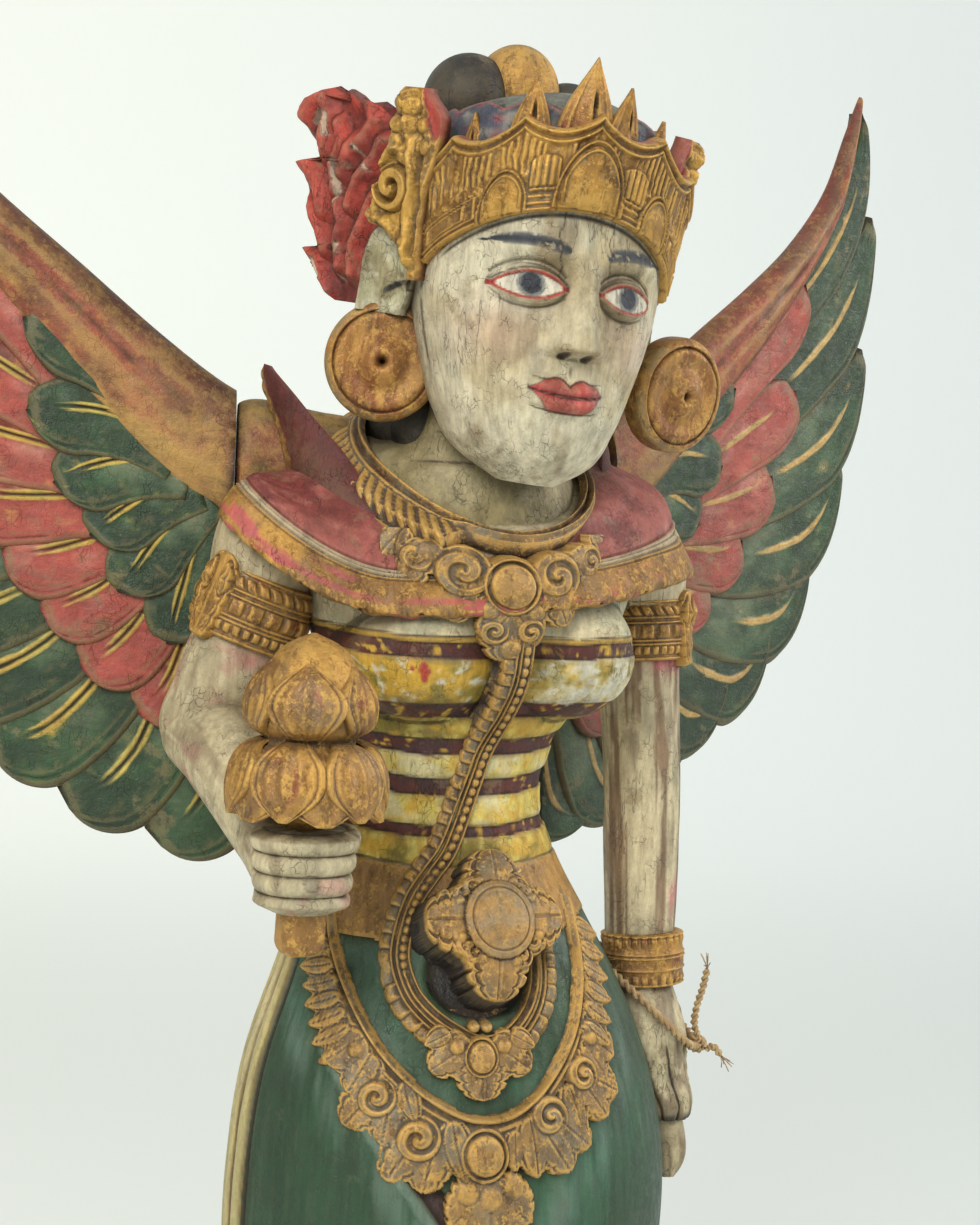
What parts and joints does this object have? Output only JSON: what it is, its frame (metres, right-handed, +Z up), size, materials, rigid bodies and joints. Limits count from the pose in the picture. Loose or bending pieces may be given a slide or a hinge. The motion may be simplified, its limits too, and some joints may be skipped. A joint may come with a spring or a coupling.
{
  "type": "carved wooden winged nymph figure",
  "caption": "Painted and gilded wooden winged nymph holding a lotus bud, standing on a low plinth by its own weight.",
  "frame": {"origin": "centre of the plinth's underside", "axes": "+Z up, the figure faces -Y, its own left is +X"},
  "size_m": [0.4687, 0.1862, 0.8492],
  "materials": {
    "plinth_paint": "worn brown and red paint over wood",
    "figure_paint": "old chalky paint and worn gilding, cracked along the grain",
    "wing_paint": "worn green and coral paint with yellow quill strokes",
    "gilding": "rubbed bronze-gold over red ground",
    "jute": "hairy two-ply jute"
  },
  "bodies": {
    "root": {"plinth": "plinth_paint", "figure": "figure_paint", "right_wing": "wing_paint", "left_wing": "wing_paint", "lotus": "gilding", "right_ear_disc": "gilding", "left_ear_disc": "gilding", "twine_tie": "jute"}
  },
  "joints": []
}
